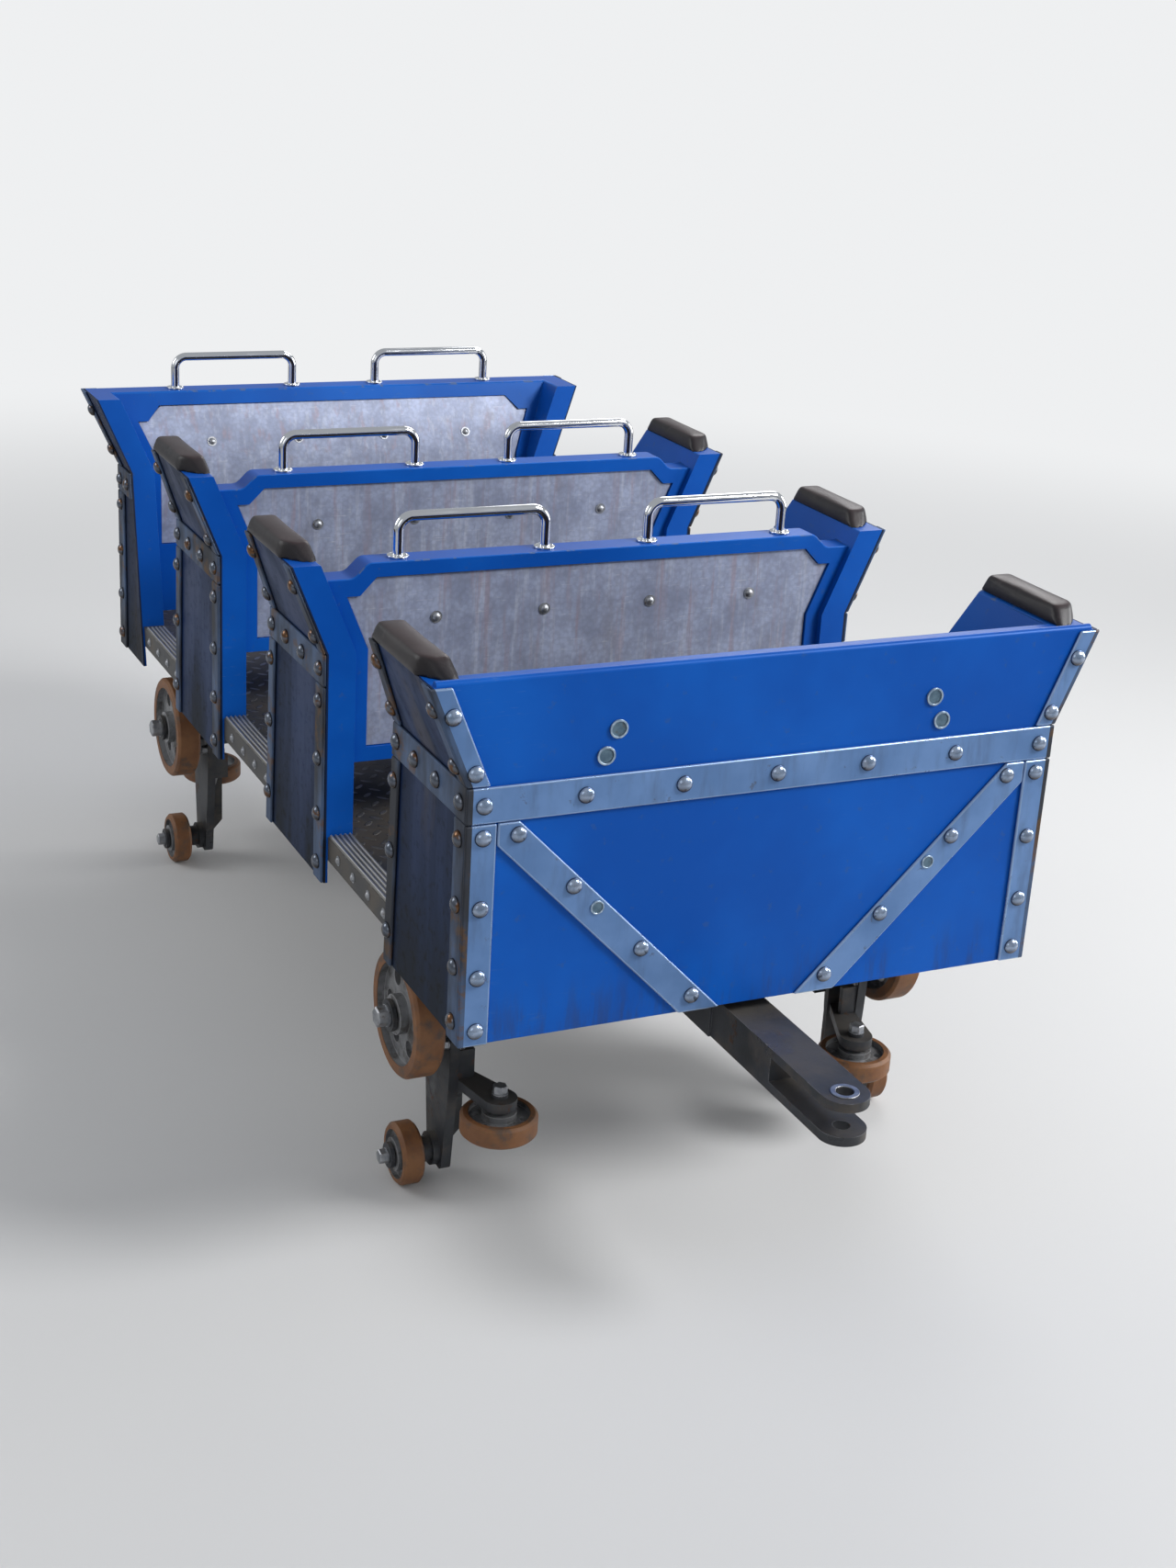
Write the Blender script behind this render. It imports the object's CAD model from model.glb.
import math

import bmesh
import bpy
from mathutils import Matrix, Vector


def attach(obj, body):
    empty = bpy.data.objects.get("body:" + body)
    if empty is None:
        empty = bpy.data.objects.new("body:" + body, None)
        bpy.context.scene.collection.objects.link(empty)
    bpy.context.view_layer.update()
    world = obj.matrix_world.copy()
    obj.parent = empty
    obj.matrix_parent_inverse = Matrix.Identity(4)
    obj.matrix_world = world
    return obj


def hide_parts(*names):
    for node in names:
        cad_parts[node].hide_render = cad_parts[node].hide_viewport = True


# Mine train coaster car: painted sheet steel, riveted flat bars, upholstery, chassis and wheels
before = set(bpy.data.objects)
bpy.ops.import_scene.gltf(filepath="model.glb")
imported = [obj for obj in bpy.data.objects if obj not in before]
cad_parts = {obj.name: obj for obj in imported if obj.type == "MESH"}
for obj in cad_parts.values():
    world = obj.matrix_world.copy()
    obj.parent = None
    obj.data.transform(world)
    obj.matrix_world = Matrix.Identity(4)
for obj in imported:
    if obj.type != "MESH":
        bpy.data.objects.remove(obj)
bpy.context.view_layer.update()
scene = bpy.context.scene

# Sizes of the car in metres, as the source gives them
ROWS = {"rear": -1.245, "middle": -0.5, "front": 0.245}
FLOOR, FOLD, TIP, SKIRT, RIM = 0.605, 0.990, 1.172, 0.505, 1.167
HALF, TOP_HALF, WALL, STRIP = 0.590, 0.665, 0.060, 0.007
WING_LOW, WING_FOLD, WING_TOP = 0.375, 0.355, 0.290
NOSE_FOLD, NOSE_FLARE = 1.170, 0.075
NOSE_SIDE_LOW, NOSE_SIDE_TOP = 0.210, 0.150
BACK_SET = 0.015
BAND_Z = FOLD - 0.033
BENCH_TOP, PIVOT_X, PIVOT_Z = 0.785, 0.150, 0.820
LAP_LEN, LAP_ANGLE = 0.330, math.radians(28)
AXLE_X, WHEEL_Y, RUN_Z = 0.850, 0.533, 0.373
GUIDE_X, GUIDE_Y, RAIL_Z = 1.000, 0.399, 0.189
STOP_Z = 0.0635
SPINE_Z, SPINE_HALF = 0.490, 0.0505
SADDLE_HALF, SADDLE_Z, SADDLE_BOLTS = 0.0805, 0.458, 0.062
SPINE_BOLTS = (0.965, 1.010, 1.055, 1.100)
SILL_START, SILL_STEP, SILL_FACE, SILL_SCREW_Z = 0.415, 0.088, 0.582, 0.580
CARRIER_FACE, CARRIER_BOLTS = 0.4705, 0.052
RUN_AXLE_END, STOP_AXLE_END = 0.5765, 0.5695
GUIDE_AXLE_TOP, GUIDE_AXLE_FOOT = 0.2505, 0.153
RUN_RIM, STOP_RIM, GUIDE_RIM = 0.1012, 0.0497, 0.0602
PIN_X, PIN_BORE = 1.5715, 0.0160
REAR_EAR_TOP, REAR_EAR_LOW, EYE_TOP, EYE_LOW = 0.482, 0.398, 0.460, 0.420
GRAB_Y, GRAB_FOOT, FOOT_T, FOOT_SCREWS = 0.274, 0.158, 0.0046, 0.0165
SEAT_Y, SEAT_MIDDLE_X, BACK_UP = 0.241, 0.3145, 0.184
PAD_LENGTH = 0.262
FLARE_OUT = (TOP_HALF - HALF) / (TIP - FOLD)
FLARE_FORWARD = NOSE_FLARE / (TIP - FOLD)


def side_y(z):
    return HALF + max(0.0, z - FOLD) * FLARE_OUT


def nose_x(z):
    return NOSE_FOLD + max(0.0, z - FOLD) * FLARE_FORWARD


# Camera at the photograph's viewing angle, turned so that the whole car shows
def place_camera(at, yaw, pitch, roll, lens):
    data = bpy.data.cameras.new("camera")
    data.lens = lens
    data.sensor_width = 36
    data.clip_end = 200
    camera = bpy.data.objects.new("camera", data)
    scene.collection.objects.link(camera)
    level = math.cos(pitch)
    ahead = Vector((level * math.cos(yaw), level * math.sin(yaw), math.sin(pitch)))
    right = Vector((math.sin(yaw), -math.cos(yaw), 0))
    up = right.cross(ahead)
    right = math.cos(roll) * right + math.sin(roll) * up
    up = right.cross(ahead)
    camera.matrix_world = Matrix.Translation(at) @ Matrix((right, up, -ahead)).transposed().to_4x4()
    scene.camera = camera


EYE_PLACE, LENS = (-4.403, 1.919, 2.317), 50.5
YAW, PITCH, ROLL = (math.radians(angle) for angle in (-26.1, -20.9, 3.5))
place_camera(EYE_PLACE, YAW, PITCH, ROLL, LENS)


class Signal:
    """A node's output that can be calculated with."""

    def __init__(self, nodes, socket):
        self.nodes = nodes
        self.socket = socket

    def maths(self, operation, *values):
        return self.nodes.node("Math", {"operation": operation}, dict(enumerate(values)))

    def __add__(self, other):
        return self.maths("ADD", self, other)

    def __sub__(self, other):
        return self.maths("SUBTRACT", self, other)

    def __rsub__(self, other):
        return self.maths("SUBTRACT", other, self)

    def __mul__(self, other):
        return self.maths("MULTIPLY", self, other)

    def __abs__(self):
        return self.maths("ABSOLUTE", self)

    __radd__ = __add__
    __rmul__ = __mul__

    def above(self, edge):
        return self.maths("GREATER_THAN", self, edge)

    def ramp(self, low, high):
        """0 at low and 1 at high, softly."""
        settings = {"interpolation_type": "SMOOTHSTEP"}
        return self.nodes.node("MapRange", settings, {0: self, 1: low, 2: high, 3: 0.0, 4: 1.0})


class Nodes:
    """A tree of nodes, each of them made by one method."""

    def __init__(self, tree):
        self.tree = tree

    def node(self, kind, settings=None, sockets=None, out=0):
        node = self.tree.nodes.new("ShaderNode" + kind)
        for key, value in (settings or {}).items():
            setattr(node, key, value)
        for key, value in (sockets or {}).items():
            self.feed(node.inputs[key], value)
        return Signal(self, node.outputs[out])

    def feed(self, socket, value):
        if isinstance(value, Signal):
            self.tree.links.new(value.socket, socket)
        elif socket.type == "RGBA":
            socket.default_value = (*value, 1)
        else:
            socket.default_value = value


class Finish(Nodes):
    """One procedural material, which reads the piece's own place."""

    def __init__(self, name):
        self.material = bpy.data.materials.new(name)
        self.material.use_nodes = True
        super().__init__(self.material.node_tree)
        self.shader = self.tree.nodes["Principled BSDF"]
        self.place = self.node("TexCoord", out="Object")
        axes = self.node("SeparateXYZ", None, {0: self.place})
        self.x = axes
        self.y = Signal(self, axes.socket.node.outputs[1])
        self.z = Signal(self, axes.socket.node.outputs[2])
        self.up = self.node("SeparateXYZ", None, {0: self.node("TexCoord", out="Normal")}, out="Z")

    def shade(self, **values):
        for key, value in values.items():
            self.feed(self.shader.inputs[key.replace("_", " ")], value)
        return self

    def stretched(self, stretch, shift=0.0):
        sockets = {"Vector": self.place, "Scale": stretch, "Location": (shift, shift, shift)}
        return self.node("Mapping", None, sockets)

    def noise(self, scale, detail=3.0, roughness=0.55, stretch=(1, 1, 1), shift=0.0):
        sockets = {"Vector": self.stretched(stretch, shift), "Scale": scale}
        sockets.update({"Detail": detail, "Roughness": roughness})
        return self.node("TexNoise", None, sockets)

    def cells(self, scale):
        return self.node("TexVoronoi", None, {"Vector": self.place, "Scale": scale})

    def worn(self):
        """1 on the rounded edges of sheets and plates."""
        return self.node("Attribute", {"attribute_name": "wear"}, None, out="Fac")

    def mix(self, first, second, share):
        return self.node("Mix", {"data_type": "RGBA"}, {0: share, 6: first, 7: second}, out=2)

    def bump(self, height, depth):
        """Height from 0 to 1, standing depth metres proud."""
        sockets = {"Height": height, "Distance": depth, "Strength": 1.0}
        return self.shade(Normal=self.node("Bump", None, sockets))

    def outer_side(self):
        """1 on the outward faces of the tubs and of the bars on them."""
        flare = self.z.maths("MAXIMUM", self.z - FOLD, 0.0) * FLARE_OUT + HALF
        return (abs(self.y) - flare).above(-0.004)


# Finishes
def tub_paint():
    f = Finish("tub_paint")
    cloud = f.noise(2.3, 4)
    runs = f.noise(9, 4, stretch=(1, 1, 0.14))
    spots = f.noise(46, 5, 0.65)
    side = f.outer_side()
    low = 1 - f.z.ramp(SKIRT, SKIRT + 0.26)
    blue = f.mix((0.0030, 0.066, 0.350), (0.0045, 0.096, 0.455), cloud.ramp(0.35, 0.7))
    scuffs = f.noise(120, 3, 0.7, stretch=(0.12, 0.12, 1)).ramp(0.60, 0.72)
    scuffs = scuffs * cloud.ramp(0.5, 0.7)
    blue = f.mix(blue, (0.10, 0.19, 0.36), scuffs * 0.4)
    grime = side * (runs.ramp(0.36, 0.60) * 0.55 + spots.ramp(0.5, 0.7) * 0.3 + low * 0.35)
    blue = f.mix(blue, (0.002, 0.007, 0.024), side * 0.86)
    blue = f.mix(blue, (0.014, 0.013, 0.010), grime)
    ochre = side * f.noise(5.5, 4, 0.6, stretch=(1, 1, 0.22), shift=3.1).ramp(0.58, 0.70)
    blue = f.mix(blue, (0.058, 0.040, 0.014), ochre * 0.45)
    splash = (1 - f.z.ramp(SKIRT, SKIRT + 0.13)) * (1 - side)
    fine = f.noise(34, 5, 0.68, stretch=(1, 1, 0.16), shift=7.7)
    blue = f.mix(blue, (0.030, 0.034, 0.048), splash * fine.ramp(0.42, 0.66) * 0.45)
    blue = f.mix(blue, (0.05, 0.09, 0.16), spots.ramp(0.62, 0.70) * (1 - side) * 0.30)
    chips = f.worn() * f.noise(31, 4, 0.6, shift=1.7).ramp(0.56, 0.62)
    blue = f.mix(blue, (0.11, 0.12, 0.13), chips * 0.75)
    edge = f.worn() * (1 - side) * 0.20
    blue = f.mix(blue, (0.03, 0.19, 0.60), edge)
    rough = 0.33 + cloud * 0.10 + grime * 0.30 + scuffs * 0.15 + side * 0.08
    f.shade(Base_Color=blue, Roughness=rough, Specular_IOR_Level=0.32,
            Specular_Tint=(0.30, 0.55, 1.0))
    dents = f.noise(5.5, 2) * 0.55 + f.noise(420, 2) * 0.03 - chips * 0.10
    return f.bump(dents, 0.0016)


def bar_paint():
    f = Finish("bar_paint")
    cloud = f.noise(7, 4)
    runs = f.noise(26, 4, 0.6, stretch=(1, 1, 0.2))
    side = f.outer_side()
    tone = f.mix((0.100, 0.200, 0.410), (0.148, 0.270, 0.520), cloud.ramp(0.3, 0.7))
    tone = f.mix(tone, (0.070, 0.110, 0.190), runs.ramp(0.5, 0.75) * 0.45)
    chips = f.noise(34, 5, 0.68, shift=2.2).ramp(0.64, 0.70)
    tone = f.mix(tone, (0.085, 0.095, 0.115), chips * 0.6)
    rubbed = f.worn() * (1 - side)
    tone = f.mix(tone, (0.36, 0.48, 0.68), rubbed * 0.6)
    grime = side * (0.55 + 0.4 * f.noise(11, 4, 0.6, stretch=(1, 1, 0.3)).ramp(0.35, 0.65))
    tone = f.mix(tone, (0.028, 0.026, 0.024), grime)
    rust = side * f.noise(16, 5, 0.65, shift=5.3).ramp(0.55, 0.66)
    tone = f.mix(tone, (0.120, 0.062, 0.022), rust * 0.7)
    rough = 0.30 + 0.18 * runs + grime * 0.25 - rubbed * 0.10
    f.shade(Base_Color=tone, Roughness=rough, Metallic=0.42 + rubbed * 0.3,
            Specular_IOR_Level=0.45)
    return f.bump(f.noise(18, 3) * 0.4 + f.noise(300, 2) * 0.06 - chips * 0.2, 0.0008)


def rivet_paint():
    f = Finish("rivet_paint")
    cloud = f.noise(70, 3)
    side = f.outer_side()
    tone = f.mix((0.24, 0.32, 0.45), (0.38, 0.46, 0.60), cloud.ramp(0.35, 0.65))
    tone = f.mix(tone, (0.055, 0.048, 0.042), side * 0.72)
    tone = f.mix(tone, (0.050, 0.036, 0.026), f.up.ramp(0.10, -0.65) * 0.9)
    tone = f.mix(tone, (0.030, 0.028, 0.030), f.worn() * 0.75)
    rust = f.noise(38, 4, 0.6, shift=4).ramp(0.52, 0.62) * (0.15 + 0.75 * side)
    tone = f.mix(tone, (0.150, 0.070, 0.025), rust)
    f.shade(Base_Color=tone, Metallic=0.80, Roughness=0.15 + 0.14 * cloud)
    return f.bump(cloud, 0.0002)


def galvanised():
    f = Finish("galvanised")
    runs = f.noise(62, 5, 0.62, stretch=(1, 1, 0.085))
    blotch = f.noise(11, 6, 0.7)
    spangle = f.cells(95)
    tone = f.mix((0.240, 0.272, 0.385), (0.350, 0.395, 0.545), blotch.ramp(0.35, 0.66))
    tone = f.mix(tone, (0.47, 0.50, 0.60), runs.ramp(0.50, 0.70) * 0.5)
    stain = f.noise(48, 5, 0.62, stretch=(1, 1, 0.07), shift=2.7)
    tone = f.mix(tone, (0.310, 0.245, 0.290), stain.ramp(0.52, 0.68) * 0.6)
    tone = f.mix(tone, (0.175, 0.185, 0.225), spangle.ramp(0.30, 0.75) * 0.25)
    dust = f.noise(17, 5, 0.62, stretch=(1, 1, 0.35), shift=4.4).ramp(0.56, 0.74)
    tone = f.mix(tone, (0.190, 0.160, 0.155), dust * 0.35)
    scratches = f.noise(260, 3, 0.7, stretch=(0.05, 0.08, 1)).ramp(0.60, 0.70)
    scratches = scratches * blotch.ramp(0.4, 0.6)
    tone = f.mix(tone, (0.62, 0.64, 0.70), scratches * 0.4)
    f.shade(Base_Color=tone, Metallic=0.30, Roughness=0.36 + 0.26 * runs)
    return f.bump(f.noise(6, 2) * 0.8 + runs * 0.05, 0.0014)


def chrome():
    f = Finish("chrome")
    smears = f.noise(28, 4, 0.6, stretch=(1, 0.4, 1))
    tone = f.mix((0.74, 0.76, 0.79), (0.50, 0.52, 0.56), smears.ramp(0.5, 0.8) * 0.6)
    f.shade(Base_Color=tone, Metallic=1.0, Roughness=0.10 + 0.18 * smears.ramp(0.45, 0.8))
    return f.bump(smears, 0.0001)


def polished_steel():
    f = Finish("polished_steel")
    turned = f.noise(260, 2, 0.6, stretch=(1, 0.06, 1))
    hands = f.noise(13, 4)
    tone = f.mix((0.50, 0.51, 0.53), (0.36, 0.36, 0.38), hands.ramp(0.4, 0.75))
    f.shade(Base_Color=tone, Metallic=1.0, Roughness=0.22 + 0.2 * turned + 0.1 * hands)
    return f.bump(turned, 0.00015)


def vinyl(name, dark, light, scale, wear):
    f = Finish(name)
    grain = f.cells(scale)
    fine = f.noise(scale * 1.6, 3)
    cloud = f.noise(8, 4)
    tone = f.mix(dark, light, cloud.ramp(0.35, 0.75))
    scuffs = f.noise(24, 5, 0.7, shift=2.0).ramp(0.60, 0.74)
    tone = f.mix(tone, tuple(3.2 * c for c in light), scuffs * wear * 0.6)
    dust = f.noise(5, 4, shift=6.0).ramp(0.5, 0.8)
    tone = f.mix(tone, (0.10, 0.085, 0.07), dust * 0.18)
    tone = f.mix(tone, (0.066, 0.042, 0.043), f.up.ramp(0.55, 0.96) * (0.3 + 0.5 * cloud) * wear)
    f.shade(Base_Color=tone, Roughness=0.29 + 0.16 * cloud + 0.14 * dust, Specular_IOR_Level=0.32)
    creases = f.noise(30, 4, 0.6, stretch=(1, 0.5, 1)).ramp(0.4, 0.6)
    return f.bump(grain * 0.35 + fine * 0.15 + creases * 0.25, 0.0005)


def dark_steel():
    f = Finish("dark_steel")
    cloud = f.noise(6, 4)
    dust = f.noise(15, 5, 0.6)
    tone = f.mix((0.022, 0.024, 0.028), (0.050, 0.054, 0.062), cloud.ramp(0.3, 0.7))
    tone = f.mix(tone, (0.105, 0.085, 0.065), dust.ramp(0.46, 0.74) * 0.55)
    rust = f.noise(22, 5, 0.68, shift=3.7).ramp(0.60, 0.70)
    tone = f.mix(tone, (0.110, 0.045, 0.018), rust * 0.65)
    settled = f.up.ramp(0.75, 0.98) * f.noise(3.5, 4, 0.6, shift=1.3).ramp(0.30, 0.62)
    tone = f.mix(tone, (0.098, 0.088, 0.076), settled * 0.7)
    tone = f.mix(tone, (0.27, 0.275, 0.285), f.worn() * f.noise(34, 3).ramp(0.40, 0.58) * 0.8)
    grease = f.noise(10, 3, shift=9.0).ramp(0.55, 0.68)
    f.shade(Base_Color=tone, Roughness=0.52 + rust * 0.25 - grease * 0.25, Metallic=0.2)
    return f.bump(f.noise(130, 4, 0.65) * 0.5 + rust * 0.4, 0.0007)


def floor_plate():
    f = Finish("floor_plate")
    turn = {"Vector": f.place, "Rotation": (0, 0, math.radians(45)), "Scale": (28, 28, 28)}
    spots = f.node("Mapping", None, turn)
    parts = f.node("SeparateXYZ", None, {0: spots})
    across = Signal(f, parts.socket.node.outputs[1])
    whole = parts.maths("FLOOR", parts) + across.maths("FLOOR", across)
    odd = whole.maths("MODULO", whole.maths("ABSOLUTE", whole), 2.0).above(0.5)
    u = parts.maths("FRACT", parts) - 0.5
    v = across.maths("FRACT", across) - 0.5
    long_u = (u * u) * 5.2 + (v * v) * 40
    long_v = (u * u) * 40 + (v * v) * 5.2
    lozenge = (1 - (long_u * odd + long_v * (1 - odd)).ramp(0.55, 1.0)) * f.z.above(FLOOR - 0.001)
    mud = f.noise(9, 5, 0.6)
    tone = f.mix((0.060, 0.062, 0.066), (0.085, 0.078, 0.068), mud.ramp(0.35, 0.65))
    tone = f.mix(tone, (0.115, 0.092, 0.070), mud.ramp(0.5, 0.72) * 0.6 * (1 - lozenge))
    polish = lozenge * f.noise(5, 3, shift=4).ramp(0.4, 0.6)
    tone = f.mix(tone, (0.30, 0.30, 0.31), polish * 0.7)
    f.shade(Base_Color=tone, Metallic=0.3 + polish * 0.5, Roughness=0.55 - polish * 0.2)
    return f.bump(lozenge, 0.0022)


def tread_alloy():
    f = Finish("tread_alloy")
    wear = f.noise(12, 4)
    ribs = f.z.ramp(FLOOR + 0.003, FLOOR + 0.0068)
    tone = f.mix((0.16, 0.155, 0.145), (0.56, 0.56, 0.56), ribs * (0.55 + 0.45 * wear))
    tone = f.mix(tone, (0.13, 0.105, 0.08), wear.ramp(0.52, 0.7) * (1 - ribs) * 0.7)
    f.shade(Base_Color=tone, Metallic=0.75, Roughness=0.30 + 0.25 * wear)
    return f.bump(f.noise(300, 2, stretch=(0.04, 1, 1)) * 0.3, 0.0005)


def tyre():
    f = Finish("tyre_urethane")
    cloud = f.noise(20, 4)
    tone = f.mix((0.150, 0.060, 0.022), (0.215, 0.095, 0.036), cloud.ramp(0.3, 0.7))
    tone = f.mix(tone, (0.060, 0.050, 0.042), f.noise(34, 5, 0.65, shift=2).ramp(0.48, 0.70) * 0.75)
    f.shade(Base_Color=tone, Roughness=0.48 + 0.2 * cloud, Specular_IOR_Level=0.45)
    return f.bump(f.noise(90, 4, 0.6) * 0.5, 0.0008)


def hub():
    f = Finish("hub_cast")
    cloud = f.noise(18, 4)
    tone = f.mix((0.19, 0.195, 0.205), (0.30, 0.305, 0.315), cloud.ramp(0.3, 0.7))
    grime = f.noise(30, 5, 0.65, shift=3).ramp(0.45, 0.68)
    tone = f.mix(tone, (0.055, 0.045, 0.036), grime * 0.7)
    tone = f.mix(tone, (0.42, 0.42, 0.43), f.worn() * 0.4)
    f.shade(Base_Color=tone, Metallic=0.55, Roughness=0.42 + 0.25 * grime)
    return f.bump(f.noise(160, 4, 0.6) * 0.5, 0.0006)


def zinc():
    f = Finish("zinc_bolts")
    cloud = f.noise(60, 4)
    tone = f.mix((0.26, 0.275, 0.30), (0.42, 0.43, 0.45), cloud.ramp(0.3, 0.7))
    tone = f.mix(tone, (0.14, 0.085, 0.045), f.noise(85, 4, 0.6, shift=2).ramp(0.58, 0.7) * 0.6)
    f.shade(Base_Color=tone, Metallic=0.85, Roughness=0.34 + 0.2 * cloud)
    return f.bump(cloud, 0.0002)


def bolt_head():
    f = Finish("bolt_head")
    cloud = f.noise(70, 4)
    tone = f.mix((0.070, 0.125, 0.180), (0.125, 0.200, 0.260), cloud.ramp(0.3, 0.7))
    tone = f.mix(tone, (0.30, 0.38, 0.46), f.worn() * 0.5)
    tone = f.mix(tone, (0.09, 0.07, 0.05), f.noise(95, 4, 0.6, shift=2).ramp(0.60, 0.7) * 0.5)
    f.shade(Base_Color=tone, Metallic=0.55, Roughness=0.28 + 0.2 * cloud)
    return f.bump(cloud, 0.0002)


def ring_paint():
    f = Finish("ring_paint")
    cloud = f.noise(90, 4)
    tone = f.mix((0.21, 0.30, 0.40), (0.42, 0.52, 0.62), cloud.ramp(0.35, 0.65))
    tone = f.mix(tone, (0.08, 0.06, 0.045), f.noise(120, 4, 0.6, shift=2).ramp(0.60, 0.7) * 0.5)
    f.shade(Base_Color=tone, Metallic=0.6, Roughness=0.22 + 0.2 * cloud)
    return f.bump(cloud, 0.0002)


def rubbed_steel():
    f = Finish("rubbed_steel")
    drag = f.noise(40, 5, 0.65, stretch=(0.04, 1, 1))
    low = 1 - f.z.ramp(SPINE_Z - 0.085, SPINE_Z - 0.045)
    tone = f.mix((0.040, 0.040, 0.044), (0.34, 0.34, 0.35), low * drag.ramp(0.30, 0.62))
    rust = f.noise(20, 5, 0.65, shift=3).ramp(0.56, 0.68) * (1 - 0.7 * low)
    tone = f.mix(tone, (0.120, 0.050, 0.020), rust * 0.7)
    f.shade(Base_Color=tone, Metallic=0.25 + low * 0.6, Roughness=0.34 + 0.22 * drag + rust * 0.2)
    return f.bump(drag, 0.0003)


def foam():
    f = Finish("foam_grip")
    pores = f.noise(520, 3, 0.7)
    tone = f.mix((0.012, 0.012, 0.013), (0.035, 0.034, 0.034), f.noise(16, 4).ramp(0.3, 0.75))
    f.shade(Base_Color=tone, Roughness=0.78, Specular_IOR_Level=0.3)
    return f.bump(pores, 0.0006)


TUB_PAINT = tub_paint()
BAR_PAINT = bar_paint()
RIVET_PAINT = rivet_paint()
GALVANISED = galvanised()
CHROME = chrome()
POLISHED = polished_steel()
PAD_VINYL = vinyl("pad_vinyl", (0.011, 0.010, 0.013), (0.024, 0.019, 0.020), 620, 0.80)
SEAT_VINYL = vinyl("seat_vinyl", (0.024, 0.017, 0.014), (0.042, 0.029, 0.023), 520, 0.20)
DARK_STEEL = dark_steel()
FLOOR_PLATE = floor_plate()
TREAD_ALLOY = tread_alloy()
TYRE = tyre()
HUB = hub()
ZINC = zinc()
BOLT_HEAD = bolt_head()
RING_PAINT = ring_paint()
RUBBED = rubbed_steel()
FOAM = foam()


# Mesh helpers
def copy_of(node):
    """The node's own mesh, merged and with its flat faces joined."""
    bm = bmesh.new()
    bm.from_mesh(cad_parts[node].data)
    bmesh.ops.remove_doubles(bm, verts=bm.verts, dist=2e-5)
    bmesh.ops.dissolve_limit(bm, angle_limit=math.radians(1), verts=bm.verts, edges=bm.edges)
    return bm


def rounded(bm, edges, width, segments):
    """Rounds edges, and gives the strips of new faces."""
    made = bmesh.ops.bevel(
        bm, geom=edges, offset=width, offset_type="OFFSET", segments=segments, profile=0.5,
        affect="EDGES", clamp_overlap=True, material=-1)
    return made["faces"]


def soften(bm, width, segments=2, over=30, longer=0.02, where=lambda edge: True):
    """Rounds the long sharp edges, and marks the new faces as the ones that wear."""
    wear = bm.faces.layers.float.get("wear") or bm.faces.layers.float.new("wear")
    limit = math.radians(over)
    sharp = [e for e in bm.edges if len(e.link_faces) == 2 and e.calc_length() > longer]
    sharp = [e for e in sharp if e.calc_face_angle() > limit and where(e)]
    for face in rounded(bm, sharp, width, segments):
        face[wear] = 1.0
    return bm


def piece(name, bm, finishes, body="car", stands_for=(), sharp=42):
    mesh = bpy.data.meshes.new(name)
    for finish in finishes:
        mesh.materials.append(finish.material)
    bm.to_mesh(mesh)
    bm.free()
    if "custom_normal" in mesh.attributes:
        mesh.attributes.remove(mesh.attributes["custom_normal"])
    mesh.shade_smooth()
    mesh.set_sharp_from_angle(angle=math.radians(sharp))
    made = bpy.data.objects.new(name, mesh)
    scene.collection.objects.link(made)
    even = made.modifiers.new("even_shading", "WEIGHTED_NORMAL")
    even.keep_sharp = True
    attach(made, body)
    if stands_for:
        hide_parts(*stands_for)
    return made


def softened(name, node, finish, slot, width, segments=2, body="car", sharp=42, **edges):
    """Piece with a node's own shape and rounded edges."""
    bm = soften(copy_of(node), width, segments, **edges)
    piece(name, bm, [finish], body, [node], sharp)


def facing(at, normal):
    """Matrix that puts a shape made around Z at a place, with its Z along the normal."""
    return Matrix.Translation(at) @ Vector(normal).to_track_quat("Z", "Y").to_matrix().to_4x4()


def dome(bm, at, normal, radius, height, sides, rings):
    """Round head of a rivet or screw, with grime marked around its foot."""
    wear = bm.faces.layers.float.get("wear") or bm.faces.layers.float.new("wear")
    matrix = facing(at, normal) @ Matrix.Diagonal((radius, radius, height, 1))
    made = bmesh.ops.create_uvsphere(
        bm, u_segments=sides, v_segments=rings, radius=1, matrix=matrix)
    sunk = []
    for face in dict.fromkeys(f for v in made["verts"] for f in v.link_faces):
        out = (face.calc_center_median() - Vector(at)).dot(Vector(normal).normalized()) / height
        face[wear] = float(out < 0.22)
        if out < -0.3:
            sunk.append(face)
    bmesh.ops.delete(bm, geom=sunk, context="FACES")


def disc(bm, at, normal, radius, height, sides, bevel=0.0):
    matrix = facing(at, normal) @ Matrix.Translation((0, 0, height / 2))
    bmesh.ops.create_cone(bm, cap_ends=True, segments=sides, radius1=radius, radius2=radius - bevel,
                          depth=height, matrix=matrix)


def hex_bolt(bm, at, normal, across, turn=0.3):
    """Washer, hexagon head and a chamfered top."""
    disc(bm, at, normal, across * 0.62, across * 0.10, 18)
    spin = Matrix.Rotation(turn, 4, "Z")
    for low, height, cut in ((0.10, 0.50, 0.0), (0.60, 0.08, 0.07)):
        matrix = facing(at, normal) @ spin @ Matrix.Translation((0, 0, across * (low + height / 2)))
        radius = across * 0.577
        bmesh.ops.create_cone(
            bm, cap_ends=True, segments=6, radius1=radius, radius2=radius - cut * across,
            depth=across * height, matrix=matrix)


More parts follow.
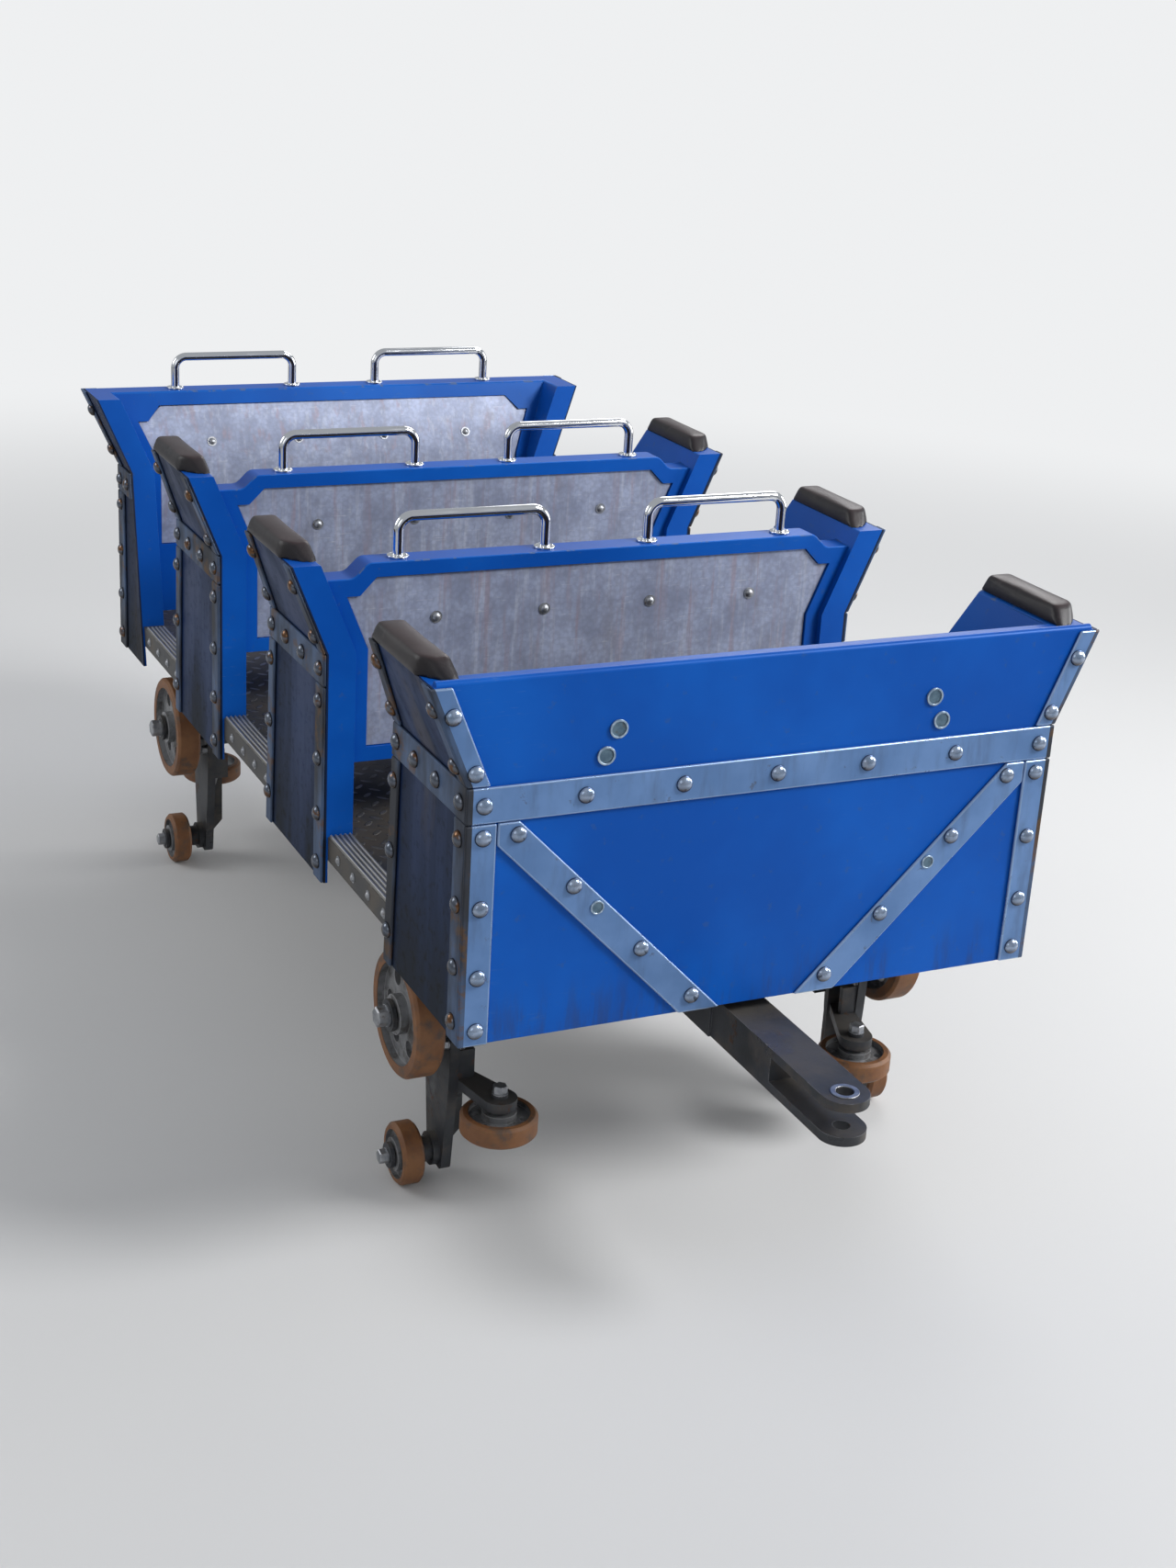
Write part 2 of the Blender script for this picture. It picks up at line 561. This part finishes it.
def tube(points, radius):
    """Bmesh of a round cord along a closed loop of points."""
    curve = bpy.data.curves.new("path", "CURVE")
    curve.dimensions = "3D"
    curve.bevel_depth = radius
    curve.bevel_resolution = 3
    line = curve.splines.new("POLY")
    line.points.add(len(points) - 1)
    for point, place in zip(line.points, points):
        point.co = (*place, 1)
    line.use_cyclic_u = True
    holder = bpy.data.objects.new("path", curve)
    mesh = bpy.data.meshes.new_from_object(holder)
    bm = bmesh.new()
    bm.from_mesh(mesh)
    bmesh.ops.remove_doubles(bm, verts=bm.verts, dist=1e-5)
    bmesh.ops.recalc_face_normals(bm, faces=bm.faces)
    bpy.data.objects.remove(holder)
    bpy.data.meshes.remove(mesh)
    bpy.data.curves.remove(curve)
    return bm


def join(target, extra, material=0):
    """Adds the faces of one bmesh to another with a material number."""
    for face in extra.faces:
        face.material_index = material
    mesh = bpy.data.meshes.new("part")
    extra.to_mesh(mesh)
    extra.free()
    target.from_mesh(mesh)
    bpy.data.meshes.remove(mesh)


def ring(bm, at, normal, inner, outer, height, material=0):
    """Flat washer around an axis."""
    part = bmesh.new()
    for radius in (inner, outer):
        bmesh.ops.create_circle(part, segments=36, radius=radius)
    bmesh.ops.bridge_loops(part, edges=part.edges)
    made = bmesh.ops.extrude_face_region(part, geom=list(part.faces))
    raised = [v for v in made["geom"] if isinstance(v, bmesh.types.BMVert)]
    bmesh.ops.translate(part, verts=raised, vec=(0, 0, height))
    bmesh.ops.recalc_face_normals(part, faces=part.faces)
    bmesh.ops.transform(part, matrix=facing(at, normal), verts=part.verts)
    join(bm, part, material)


def plate(bm, corners, push, rounding=0.0048):
    """Flat bar from its corners on the wall, pushed out to its thickness, with rounded edges."""
    part = bmesh.new()
    face = part.faces.new([part.verts.new(corner) for corner in corners])
    made = bmesh.ops.extrude_face_region(part, geom=[face])
    moved = [v for v in made["geom"] if isinstance(v, bmesh.types.BMVert)]
    bmesh.ops.translate(part, verts=moved, vec=push)
    bmesh.ops.recalc_face_normals(part, faces=part.faces)
    soften(part, rounding, 3, longer=0.0)
    join(bm, part)


# Tubs, nose and the bars riveted on them
BAR_SEAM = 0.0014
RECESS = 0.010
CORNER_RIVETS = (0.545, 0.650, 0.768, 0.890, BAND_Z)
RIVET_RADIUS, RIVET_HEIGHT = 0.0158, 0.0106
CORNER_W, STRIP_W, BRACE, BAND_LOW = 0.050, 0.036, 0.0424, FOLD - 0.066


def wing_edge(z):
    """How far a wing's front edge stands in front of the row's rear face."""
    if z > FOLD:
        return WING_FOLD + (z - FOLD) / (TIP - FOLD) * (WING_TOP - WING_FOLD)
    return WING_LOW + (z - SKIRT) / (FOLD - SKIRT) * (WING_FOLD - WING_LOW)


def wall_bar(bm, side, spans, push):
    """Bar on a side wall; spans are its first and last X at each height."""
    points = [(span[1], side * side_y(span[0]), span[0]) for span in spans]
    points += [(span[2], side * side_y(span[0]), span[0]) for span in reversed(spans)]
    plate(bm, points, push)


def nose_back(z):
    """X of the rear edge of the nose's side walls."""
    lean = NOSE_FLARE + NOSE_SIDE_LOW - NOSE_SIDE_TOP
    return NOSE_FOLD - NOSE_SIDE_LOW + (z - SKIRT) / (TIP - SKIRT) * lean


def wing_bars(bm, x, side):
    """The five bars on the outside of a wing."""
    push = (0, side * STRIP, 0)
    low, high, band_top = SKIRT, BAND_LOW - BAR_SEAM, FOLD + BAR_SEAM
    wall_bar(bm, side, [(z, x, x + CORNER_W) for z in (low, high)], push)
    wall_bar(bm, side, [(z, x, x + wing_edge(z)) for z in (BAND_LOW, FOLD)], push)
    wall_bar(bm, side, [(z, x, x + STRIP_W) for z in (band_top, TIP)], push)
    for first, last in ((low, high), (band_top, TIP)):
        spans = [(z, x + wing_edge(z) - STRIP_W, x + wing_edge(z)) for z in (first, last)]
        wall_bar(bm, side, spans, push)


def end_bars(bm, face, push):
    """Corner bars, band and braces on an end wall; face gives the wall's X at a height."""
    edge = HALF + STRIP
    inner = HALF - CORNER_W
    top = FOLD + BAR_SEAM
    under = BAND_LOW - BAR_SEAM
    foot = BAND_LOW - SKIRT
    band = ((-edge, BAND_LOW), (edge, BAND_LOW), (edge, FOLD), (-edge, FOLD))
    plate(bm, [(face(0), y, z) for y, z in band], push)
    for side in (-1, 1):
        corner = ((inner, SKIRT), (edge, SKIRT), (edge, under), (inner, under))
        brace = ((inner - BAR_SEAM, under), (inner - BRACE, under), (inner - BRACE - foot, SKIRT),
                 (inner + BRACE - foot, SKIRT), (inner - BAR_SEAM, BAND_LOW - BRACE))
        upper = ((HALF - STRIP_W, top), (edge, top), (TOP_HALF + STRIP, TIP),
                 (TOP_HALF - STRIP_W, TIP))
        for outline in (corner, brace, upper):
            plate(bm, [(face(z), side * y, z) for y, z in outline], push)


def tub_shell(node, face):
    """Tub or nose with a soft rim, rounded folds and a crisp recess for the grey sheet."""

    def between_wings(v, inset):
        return abs(v.co.y) < side_y(v.co.z) - WALL - inset

    def on_rim(edge):
        return all(v.co.z > RIM - 0.032 and between_wings(v, -0.001) for v in edge.verts)

    def in_recess(edge):
        return all(BENCH_TOP - 0.001 < v.co.z < RIM - 0.027 and between_wings(v, 0.025)
                   and abs(v.co.x - face(v.co.z)) < RECESS + 0.001 for v in edge.verts)

    def in_skirt(edge):
        return all(v.co.z < FLOOR + 0.001 for v in edge.verts)

    bm = copy_of(node)
    soften(bm, 0.0095, 4, longer=0.0, where=on_rim)
    soften(bm, 0.0020, 2, longer=0.004, where=in_recess)
    soften(bm, 0.0060, 3, where=lambda e: not (on_rim(e) or in_recess(e) or in_skirt(e)))
    soften(bm, 0.0015, 2, where=in_skirt)
    return bm


for row, x in ROWS.items():
    back = x if row == "rear" else x + BACK_SET
    piece("tub_steel_" + row, tub_shell("tub_" + row, lambda z: back), [TUB_PAINT],
          stands_for=["tub_" + row])
    bars = bmesh.new()
    for side in (-1, 1):
        wing_bars(bars, x, side)
    if row == "rear":
        end_bars(bars, lambda z: ROWS["rear"], (-STRIP, 0, 0))
    piece("tub_bars_" + row, bars, [BAR_PAINT],
          stands_for=["tub_bands_" + row])
piece("nose_steel", tub_shell("nose_shell", lambda z: nose_x(z) - WALL), [TUB_PAINT],
      stands_for=["nose_shell"])
bars = bmesh.new()
end_bars(bars, nose_x, (STRIP, 0, 0))
for side in (-1, 1):
    push = (0, side * STRIP, 0)
    corner = [(z, NOSE_FOLD - CORNER_W, NOSE_FOLD) for z in (SKIRT, BAND_LOW - BAR_SEAM)]
    band = [(z, nose_back(z), NOSE_FOLD) for z in (BAND_LOW, FOLD)]
    upper = [(z, nose_x(z) - STRIP_W, nose_x(z)) for z in (FOLD + BAR_SEAM, TIP)]
    for spans in (corner, band, upper):
        wall_bar(bars, side, spans, push)
piece("nose_bars", bars, [BAR_PAINT], stands_for=["nose_bands"])


def rivet(bm, at, normal):
    dome(bm, at, normal, RIVET_RADIUS, RIVET_HEIGHT, 20, 12)


def screw(bm, at, normal, radius, height, washer, thickness):
    """Round head on a flat washer."""
    disc(bm, at, normal, washer, thickness, 20)
    dome(bm, at, normal, radius, height, 14, 8)


def side_rivets(bm, x, side):
    """Rivets on the bars of one wing, from the skirt to the tip."""
    flat = (0, side, 0)
    lean = Vector((0, side, -FLARE_OUT)).normalized()
    y = side * (HALF + STRIP)
    for z in CORNER_RIVETS:
        rivet(bm, (x + CORNER_W / 2, y, z), flat)
    for z in (0.575, 0.740, 0.880):
        rivet(bm, (x + wing_edge(z) - STRIP_W / 2, y, z), flat)
    for offset in (0.135, 0.240, 0.333):
        rivet(bm, (x + offset, y, BAND_Z), flat)
    for z in (1.025, 1.128):
        out = side * (side_y(z) + STRIP)
        rivet(bm, (x + STRIP_W / 2, out, z), lean)
        rivet(bm, (x + wing_edge(z) - STRIP_W / 2, out, z), lean)


def end_rivets(bm, face, along, lean_share):
    """Rivets on the bars of an end wall; face gives the wall's X at a height."""
    lean = Vector((along[0], 0, -lean_share)).normalized()
    corner = HALF - CORNER_W / 2
    for side in (-1, 1):
        for z in (0.535, 0.637, 0.768, 0.899):
            rivet(bm, (face(z), side * corner, z), along)
        for y in (corner, 0.377, 0.188):
            rivet(bm, (face(BAND_Z), side * y, BAND_Z), along)
        for step in (0.040, 0.150, 0.290, 0.400):
            y, z = HALF - CORNER_W - step, BAND_LOW + 0.015 - step
            rivet(bm, (face(z), side * y, z), along)
        for z, y in ((1.017, 0.583), (1.121, 0.627)):
            rivet(bm, (face(z), side * y, z), lean)
    rivet(bm, (face(BAND_Z), 0, BAND_Z), along)


rivets = bmesh.new()
for row, x in ROWS.items():
    for side in (-1, 1):
        side_rivets(rivets, x, side)
end_rivets(rivets, lambda z: ROWS["rear"] - STRIP, (-1, 0, 0), 0)
end_rivets(rivets, lambda z: nose_x(z) + STRIP, (1, 0, 0), FLARE_FORWARD)
for side in (-1, 1):
    for z in CORNER_RIVETS:
        rivet(rivets, (NOSE_FOLD - CORNER_W / 2, side * (HALF + STRIP), z), (0, side, 0))
    rivet(rivets, (NOSE_FOLD - 0.092, side * (HALF + STRIP), BAND_Z), (0, side, 0))
    for z in (1.030, 1.125):
        lean = Vector((0, side, -FLARE_OUT)).normalized()
        rivet(rivets, (nose_x(z) - 0.022, side * (side_y(z) + STRIP), z), lean)
piece("rivets", rivets, [RIVET_PAINT], sharp=80)

# Flat bolt heads through the rear wall, each in a raised ring
flat_bolts = bmesh.new()
for side in (-1, 1):
    for y, z in ((0.320, 1.070), (0.341, 1.023)):
        at = Vector((ROWS["rear"], side * y, z))
        disc(flat_bolts, at, (-1, 0, 0), 0.0136, 0.0020, 28, 0.001)
        ring(flat_bolts, at, (-1, 0, 0), 0.0134, 0.0172, 0.0040, material=1)
    at = Vector((ROWS["rear"] - STRIP, side * 0.343, 0.742))
    disc(flat_bolts, at, (-1, 0, 0), 0.0105, 0.0016, 24, 0.001)
    ring(flat_bolts, at, (-1, 0, 0), 0.0103, 0.0132, 0.0028, material=1)
soften(flat_bolts, 0.0006, 1, longer=0.0)
piece("flat_bolts", flat_bolts, [BOLT_HEAD, RING_PAINT], sharp=30)

# Grey sheets in the backs and in the nose, with their screws
softened("back_sheets", "back_liners", GALVANISED, "galvanised", 0.0012, 1, longer=0.004)
softened("nose_sheet", "nose_liner", GALVANISED, "galvanised", 0.0012, 1, longer=0.004)
SHEET_SCREW = (0.0095, 0.0070, 0.0125, 0.0016)
SILL_SCREW = (0.0080, 0.0060, 0.0105, 0.0012)
screws = bmesh.new()
places = [(s * y, z) for s in (-1, 1) for y in (0.356, 0.120) for z in (1.046, 0.822)]
for row in ("middle", "front"):
    for y, z in places:
        at = (ROWS[row] + BACK_SET + 0.006, y, z)
        screw(screws, at, (-1, 0, 0), *SHEET_SCREW)
for y, z in places:
    at = (nose_x(z) - 0.054, y, z)
    normal = Vector((-1, 0, FLARE_FORWARD if z > FOLD else 0)).normalized()
    screw(screws, at, normal, *SHEET_SCREW)
piece("sheet_screws", screws, [ZINC], sharp=50)

# Grab bars with three screws in each foot
for row, x, z in (("nose", NOSE_FOLD + NOSE_FLARE - WALL / 2, TIP),
                  ("front", ROWS["front"] + BACK_SET + WALL / 2, RIM),
                  ("middle", ROWS["middle"] + BACK_SET + WALL / 2, RIM)):
    node = "grab_bars_" + row
    bars = copy_of(node)
    soften(bars, 0.0012, 2, over=50, longer=0.0005)
    for centre in (-GRAB_Y, GRAB_Y):
        for foot in (-GRAB_FOOT, GRAB_FOOT):
            for i in range(3):
                turn = 2.1 * i + 0.4
                along, across = FOOT_SCREWS * math.cos(turn), FOOT_SCREWS * math.sin(turn)
                at = (x + along, centre + foot + across, z + FOOT_T)
                dome(bars, at, (0, 0, 1), 0.0034, 0.0022, 10, 6)
    piece("grab_rails_" + row, bars, [CHROME], stands_for=[node], sharp=50)

# Benches and the steel under the floor
for row in ROWS:
    softened("seat_pan_" + row, "bench_" + row, DARK_STEEL, "dark_steel", 0.0035)
for node, width in (("chassis_spine", 0.006), ("chassis_rails", 0.004), ("cross_members", 0.004),
                    ("axle_beam_front", 0.004), ("axle_beam_rear", 0.004)):
    softened(node + "_steel", node, DARK_STEEL, "dark_steel", width)
for node in ("coupler_front", "coupler_rear", "dog_brackets"):
    softened(node + "_steel", node, DARK_STEEL, "dark_steel", 0.0022, longer=0.001)
bushes = bmesh.new()
for x, z, up in ((-PIN_X, REAR_EAR_TOP, 1), (-PIN_X, REAR_EAR_LOW, -1),
                 (PIN_X, EYE_TOP, 1), (PIN_X, EYE_LOW, -1)):
    ring(bushes, (x, 0, z), (0, 0, up), PIN_BORE + 0.0006, PIN_BORE + 0.010, 0.0016)
soften(bushes, 0.0005, 1, longer=0.0)
piece("coupler_bushes", bushes, [ZINC], sharp=30)
for node in ("chain_dog", "rollback_dog"):
    softened(node + "_steel", node, DARK_STEEL, "dark_steel", 0.002, body=node, over=20, longer=0.001)
softened("brake_fin_steel", "brake_fin", RUBBED, "dark_steel", 0.002)
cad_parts["floor_pan"].data.materials.clear()
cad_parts["floor_pan"].data.materials.append(FLOOR_PLATE.material)
softened("sill_ribs", "sill_treads", TREAD_ALLOY, "tread_alloy", 0.0008, 1)
sill_screws = bmesh.new()
for side in (-1, 1):
    for x in ROWS.values():
        for i in range(4):
            at = (x + SILL_START + SILL_STEP * i, side * SILL_FACE, SILL_SCREW_Z)
            screw(sill_screws, at, (0, side, 0), *SILL_SCREW)
piece("sill_screws", sill_screws, [ZINC], sharp=50)

# Wheel carriers, and bolts that hold them
CORNERS = {"fl": (1, 1), "fr": (1, -1), "rl": (-1, 1), "rr": (-1, -1)}
bolts = bmesh.new()
for corner, (front, left) in CORNERS.items():
    node = "wheel_carrier_" + corner
    softened(node + "_steel", node, DARK_STEEL, "dark_steel", 0.0018, longer=0.001)
    for dx in (-CARRIER_BOLTS, CARRIER_BOLTS):
        for dz in (-CARRIER_BOLTS, CARRIER_BOLTS):
            at = Vector((front * AXLE_X + dx, left * CARRIER_FACE, RUN_Z + dz))
            hex_bolt(bolts, at, (0, left, 0), 0.020, 0.2 + dx)
    hex_bolt(bolts, (front * AXLE_X, left * RUN_AXLE_END, RUN_Z), (0, left, 0), 0.036)
    hex_bolt(bolts, (front * AXLE_X, left * STOP_AXLE_END, STOP_Z), (0, left, 0), 0.026)
    hex_bolt(bolts, (front * GUIDE_X, left * GUIDE_Y, GUIDE_AXLE_TOP), (0, 0, 1), 0.026)
    hex_bolt(bolts, (front * GUIDE_X, left * GUIDE_Y, GUIDE_AXLE_FOOT), (0, 0, -1), 0.026)
for front in (-1, 1):
    for side in (-1, 1):
        for dx in (-SADDLE_BOLTS, SADDLE_BOLTS):
            at = (front * AXLE_X + dx, side * SADDLE_HALF, SADDLE_Z)
            hex_bolt(bolts, at, (0, side, 0), 0.020, dx)
        for x in SPINE_BOLTS:
            hex_bolt(bolts, (front * x, side * SPINE_HALF, SPINE_Z - 0.020), (0, side, 0), 0.018, x)
piece("chassis_bolts", bolts, [ZINC], sharp=30)


# Wheels: urethane tyres on cast hubs
def dress_wheel(kind, corner, centre, axis, rim):
    node = f"{kind}_{corner}"
    bm = soften(copy_of(node), 0.0014, 2, over=35, longer=0.0005)
    centre, axis = Vector(centre), Vector(axis)
    for face in bm.faces:
        reach = max((v.co - centre).cross(axis).length for v in face.verts)
        face.material_index = int(reach > rim)
    piece(node + "_dressed", bm, [HUB, TYRE], body=node, stands_for=[node],
          sharp=38)


for corner, (front, left) in CORNERS.items():
    over, under = ((front * AXLE_X, left * WHEEL_Y, z) for z in (RUN_Z, STOP_Z))
    beside = (front * GUIDE_X, left * GUIDE_Y, RAIL_Z)
    dress_wheel("running_wheel", corner, over, (0, 1, 0), RUN_RIM)
    dress_wheel("upstop_wheel", corner, under, (0, 1, 0), STOP_RIM)
    dress_wheel("guide_wheel", corner, beside, (0, 0, 1), GUIDE_RIM)

# Lap bars with two foam sleeves each
SLEEVE_Y, SLEEVE_LENGTH, SLEEVE_RADIUS = 0.230, 0.300, 0.0225
for row, x in ROWS.items():
    node = "lap_bar_" + row
    softened(node + "_steel", node, POLISHED, "polished_steel", 0.0015, body=node, sharp=50,
             over=50, longer=0.0005)
    sleeves = bmesh.new()
    ahead, above = LAP_LEN * math.cos(LAP_ANGLE), LAP_LEN * math.sin(LAP_ANGLE)
    centre = Vector((x + PIVOT_X + ahead, 0, PIVOT_Z + above))
    for side in (-1, 1):
        sleeve = bmesh.new()
        matrix = facing(centre + Vector((0, side * SLEEVE_Y, 0)), (0, 1, 0))
        bmesh.ops.create_cone(sleeve, cap_ends=True, segments=32, radius1=SLEEVE_RADIUS,
                              radius2=SLEEVE_RADIUS, depth=SLEEVE_LENGTH, matrix=matrix)
        soften(sleeve, 0.006, 4, longer=0.0)
        join(sleeves, sleeve)
    piece("grips_" + row, sleeves, [FOAM], body=node, sharp=60)


# Upholstery
def evaluated(body):
    """Mesh of an object as its modifiers leave it."""
    graph = bpy.context.evaluated_depsgraph_get()
    return bpy.data.meshes.new_from_object(body.evaluated_get(graph))


def swollen(bm, voxel, pressure, cap, held):
    """Remeshes a closed shape and blows it up as cloth; held keeps points where they are."""
    start = bpy.data.meshes.new("start")
    bm.to_mesh(start)
    bm.free()
    body = bpy.data.objects.new("start", start)
    scene.collection.objects.link(body)
    remesh = body.modifiers.new("remesh", "REMESH")
    remesh.mode = "VOXEL"
    remesh.voxel_size = voxel
    mesh = evaluated(body)
    body.modifiers.clear()
    body.data = mesh
    group = body.vertex_groups.new(name="held")
    group.add([v.index for v in mesh.vertices if held(v.co)], 1.0, "REPLACE")
    cloth = body.modifiers.new("cloth", "CLOTH")
    cloth.settings.quality = 5
    cloth.settings.mass = 0.4
    cloth.settings.tension_stiffness = 12
    cloth.settings.compression_stiffness = 12
    cloth.settings.bending_stiffness = 2.5
    cloth.settings.use_pressure = True
    cloth.settings.uniform_pressure_force = pressure
    cloth.settings.vertex_group_mass = "held"
    cloth.settings.effector_weights.gravity = 0
    cloth.collision_settings.use_collision = False
    for number in range(1, 21):
        scene.frame_set(number)
    grown = evaluated(body)
    for vertex, grew in zip(mesh.vertices, grown.vertices):
        move = grew.co - vertex.co
        if move.length > cap:
            move *= cap / move.length
        vertex.co += move
    body.modifiers.clear()
    bpy.data.meshes.remove(grown)
    scene.frame_set(1)
    result = bmesh.new()
    result.from_mesh(mesh)
    for _ in range(2):
        bmesh.ops.smooth_vert(result, verts=result.verts, factor=0.5, use_axis_x=True,
                              use_axis_y=True, use_axis_z=True)
    bpy.data.objects.remove(body)
    return result


def rounded_loop(half_x, half_y, radius, z):
    """Points around a rectangle with round corners."""
    points = []
    for right, far, start in ((1, 1, 0), (-1, 1, 90), (-1, -1, 180), (1, -1, 270)):
        for i in range(7):
            a = math.radians(start + 15 * i)
            points.append((right * (half_x - radius) + radius * math.cos(a),
                           far * (half_y - radius) + radius * math.sin(a), z))
    return points


def cushion_shape(size, rounding, seam, cord, pressure, cap, groove):
    """Flat cushion, swollen between its channels, with a cord sewn around it."""
    length, width, height = size
    half_x, half_y = length / 2, width / 2
    shape = bmesh.new()
    matrix = Matrix.Translation((0, 0, (height + 0.002) / 2)) @ Matrix.Diagonal(
        (length, width, height - 0.002, 1))
    bmesh.ops.create_cube(shape, size=1, matrix=matrix)
    rounded(shape, list(shape.edges), rounding, 4)

    def held(co):
        rim = min(half_x - abs(co.x), half_y - abs(co.y)) < 0.010
        rim = rim and abs(co.z - height + seam) < 0.006
        return co.z < 0.012 or rim or (co.z > height * 0.6 and groove(co))

    bm = swollen(shape, 0.0065, pressure, cap, held)
    loop = rounded_loop(half_x - 0.001, half_y - 0.001, 0.016, height - seam)
    join(bm, tube(loop, cord), 1)
    return bm


SEAT_SIZE, BACK_SIZE = (0.340, 0.448, 0.060), (0.330, 0.448, 0.040)
CHANNEL = 0.0045


def seat_groove(co):
    length, width = SEAT_SIZE[:2]
    return abs(abs(co.x) - length / 6) < CHANNEL and abs(co.y) < width / 2 - 0.03


def back_groove(co):
    return abs(abs(co.y) - 0.075) < CHANNEL and abs(co.x) < BACK_SIZE[0] / 2 - 0.025


def wing_pad_shape():
    """Pad of the left wing: flat top, sloping sides, low rear end with its outer corner cut."""
    foot = ((0, -0.035), (0, -0.004), (0.046, 0.035), (PAD_LENGTH, 0.035),
            (PAD_LENGTH, -0.035))
    crown = ((0.032, -0.026), (0.032, 0.012), (0.050, 0.026), (0.250, 0.026), (0.250, -0.026))
    bm = bmesh.new()
    rings = [[bm.verts.new((x, y, z)) for x, y in plan] for plan, z in ((foot, 0), (crown, 0.034))]
    bm.faces.new(rings[0])
    bm.faces.new(rings[1])
    for i in range(5):
        bm.faces.new((rings[0][i - 1], rings[0][i], rings[1][i], rings[1][i - 1]))
    bmesh.ops.recalc_face_normals(bm, faces=bm.faces)
    upright_edges = [e for e in bm.edges if abs(e.verts[0].co.z - e.verts[1].co.z) > 0.01]
    rounded(bm, upright_edges, 0.009, 4)
    upper = [e for e in bm.edges if min(v.co.z for v in e.verts) > 0.001]
    rounded(bm, [e for e in upper if e.calc_face_angle() > 0.4], 0.007, 3)
    return swollen(bm, 0.004, 3.0, 0.003, lambda co: co.z < 0.006)


def placed(shape, matrix, flip=False):
    """A copy of a finished shape, put in its place."""
    bm = bmesh.new()
    bm.from_mesh(shape)
    bmesh.ops.transform(bm, matrix=matrix, verts=bm.verts)
    if flip:
        bmesh.ops.reverse_faces(bm, faces=bm.faces)
    return bm


def kept(bm):
    mesh = bpy.data.meshes.new("shape")
    bm.to_mesh(mesh)
    bm.free()
    return mesh


seat_mesh = kept(cushion_shape(SEAT_SIZE, 0.014, 0.012, 0.0042, 4.2, 0.022, seat_groove))
back_mesh = kept(cushion_shape(BACK_SIZE, 0.012, 0.010, 0.0040, 4.0, 0.016, back_groove))
pad_mesh = kept(wing_pad_shape())
for row, x in ROWS.items():
    wall = x + (WALL if row == "rear" else BACK_SET + WALL)
    for side, word in ((1, "left"), (-1, "right")):
        turn = Matrix.Diagonal((1, side, 1, 1))
        seat_place = Matrix.Translation((x + SEAT_MIDDLE_X, side * SEAT_Y, BENCH_TOP)) @ turn
        shape = placed(seat_mesh, seat_place, side < 0)
        cushion = piece(f"seat_cushion_{row}_{word}", shape, [SEAT_VINYL, PAD_VINYL],
                        stands_for=["seat_cushions"], sharp=80)
        stand = Matrix.Rotation(math.radians(90), 4, "Y")
        back_place = Matrix.Translation((wall, side * SEAT_Y, BENCH_TOP + BACK_UP)) @ turn @ stand
        shape = placed(back_mesh, back_place, side < 0)
        cushion = piece(f"back_cushion_{row}_{word}", shape, [SEAT_VINYL, PAD_VINYL],
                        stands_for=["back_cushions"], sharp=80)
        pad_at = (x + WING_TOP - PAD_LENGTH, side * (TOP_HALF - WALL / 2), TIP)
        shape = placed(pad_mesh, Matrix.Translation(pad_at) @ turn, side < 0)
        pad = piece(f"wing_pad_{row}_{word}", shape, [PAD_VINYL],
                    stands_for=["wing_pads"], sharp=80)


# Floor of the studio, which can be seen through from beneath, soft lamps and a pale surround
PALE = (0.86, 0.87, 0.88)


def studio():
    floor = bmesh.new()
    bmesh.ops.create_circle(floor, cap_ends=True, segments=64, radius=60)
    mesh = bpy.data.meshes.new("studio_floor")
    floor.to_mesh(mesh)
    floor.free()
    ground = bpy.data.objects.new("studio_floor", mesh)
    scene.collection.objects.link(ground)
    f = Finish("studio_floor")
    f.shade(Base_Color=(0.63, 0.63, 0.63), Roughness=0.9, Specular_IOR_Level=0.1)
    away = f.x * f.x + f.y * f.y
    far = away.maths("SQRT", away).ramp(2.7, 7.2)
    glow = f.node("Emission", None, {"Color": PALE, "Strength": 1.0})
    output = f.tree.nodes["Material Output"]
    seen = f.node("LightPath", out="Is Camera Ray")
    both = f.node("MixShader", None, {0: far * seen, 1: Signal(f, f.shader.outputs[0]), 2: glow})
    beneath = f.node("NewGeometry", out="Backfacing") * seen
    both = f.node("MixShader", None, {0: beneath, 1: both, 2: f.node("BsdfTransparent")})
    f.tree.links.new(both.socket, output.inputs["Surface"])
    mesh.materials.append(f.material)

    world = bpy.data.worlds.new("studio")
    scene.world = world
    world.use_nodes = True
    sky = Nodes(world.node_tree)
    seen = sky.node("LightPath", out="Is Camera Ray")
    light = sky.node("Background", None, {"Color": (0.93, 0.96, 1.0), "Strength": 0.45})
    pale = sky.node("Background", None, {"Color": PALE, "Strength": 1.0})
    both = sky.node("MixShader", None, {0: seen, 1: light, 2: pale})
    sky.tree.links.new(both.socket, sky.tree.nodes["World Output"].inputs["Surface"])

    for name, at, size, power, spread in (
            ("key", (-4.6, -5.0, 5.6), 2.8, 172, 100),
            ("window", (-1.1, -6.6, 1.9), 3.2, 44, 80),
            ("fill", (-4.6, 4.2, 3.4), 3.2, 25, 180),
            ("rim", (3.4, -3.4, 4.4), 3.0, 100, 180),
            ("side", (2.6, 4.6, 3.6), 3.0, 80, 180)):
        data = bpy.data.lights.new(name, "AREA")
        data.shape = "DISK"
        data.size = size
        data.energy = power
        data.spread = math.radians(spread)
        lamp = bpy.data.objects.new(name, data)
        scene.collection.objects.link(lamp)
        lamp.matrix_world = facing(at, Vector(at) - Vector((0, 0, 0.7)))


studio()
scene.view_settings.view_transform = "Standard"
